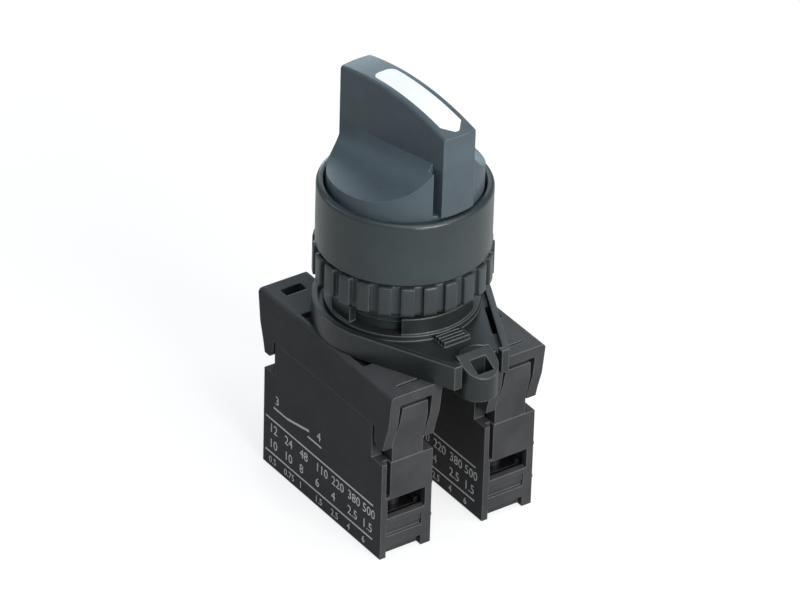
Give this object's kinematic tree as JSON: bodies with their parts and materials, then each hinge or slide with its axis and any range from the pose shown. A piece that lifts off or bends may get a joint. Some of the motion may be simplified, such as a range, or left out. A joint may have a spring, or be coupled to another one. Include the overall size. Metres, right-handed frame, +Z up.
{
  "type": "selector switch",
  "caption": "Panel selector switch with a bladed rotary knob, a round bezel and two side-by-side contact blocks on a holder.",
  "frame": {"origin": "centre of the bezel's underside, where it meets the panel's front face", "axes": "+Z up along the knob's axis, away from the panel; +X along the contact blocks, towards the holder's latch tongue and the marked end of the knob; +Y towards the right block"},
  "size_m": [0.0454, 0.0314, 0.0779],
  "materials": {
    "bezel_plastic": "satin charcoal moulding",
    "knob_plastic": "satin charcoal moulding",
    "white_plastic": "white insert",
    "nut_plastic": "dark grey moulding",
    "holder_plastic": "dark grey moulding",
    "block_plastic": "black moulding",
    "natural_plastic": "natural nylon",
    "seal_rubber": "black rubber",
    "contact_brass": "stamped brass",
    "screw_steel": "zinc plated steel",
    "spring_steel": "bright spring wire"
  },
  "bodies": {
    "base": {"bezel": "bezel_plastic", "gasket": "seal_rubber", "fixing_nut": "nut_plastic", "holder": "holder_plastic", "left_cover": "block_plastic", "right_cover": "block_plastic", "left_body": "block_plastic", "right_body": "block_plastic", "left_return_spring": "spring_steel", "right_return_spring": "spring_steel", "left_front_strip": "contact_brass", "left_rear_strip": "contact_brass", "right_front_strip": "contact_brass", "right_rear_strip": "contact_brass", "left_front_clamp": "screw_steel", "left_rear_clamp": "screw_steel", "right_front_clamp": "screw_steel", "right_rear_clamp": "screw_steel", "left_front_screw": "screw_steel", "left_rear_screw": "screw_steel", "right_front_screw": "screw_steel", "right_rear_screw": "screw_steel"},
    "turning": {"knob": "knob_plastic", "indicator": "white_plastic", "rotor": "natural_plastic", "rotor_screw": "screw_steel", "shaft_seal": "seal_rubber", "detent_ball": "screw_steel", "detent_spring": "spring_steel"},
    "left_contact": {"left_plunger": "natural_plastic", "left_bridge": "contact_brass"},
    "right_contact": {"right_plunger": "natural_plastic", "right_bridge": "contact_brass"}
  },
  "joints": [
    {"name": "knob_turn", "type": "hinge", "parent": "base", "child": "turning", "pos_m": [0, 0, 0], "axis": [0, 0, 1], "range_deg": [-90, 0]},
    {"name": "left_push", "type": "slide", "parent": "base", "child": "left_contact", "axis": [0, 0, -1], "range_m": [0, 0.0024], "deforming": ["left_return_spring"]},
    {"name": "right_push", "type": "slide", "parent": "base", "child": "right_contact", "axis": [0, 0, -1], "range_m": [0, 0.0024], "deforming": ["right_return_spring"]}
  ],
  "couplings": [
    {"joint": "left_push", "follows": "knob_turn", "m_per_rad": -0.001527},
    {"joint": "right_push", "follows": "knob_turn", "m_per_rad": -0.001527}
  ]
}
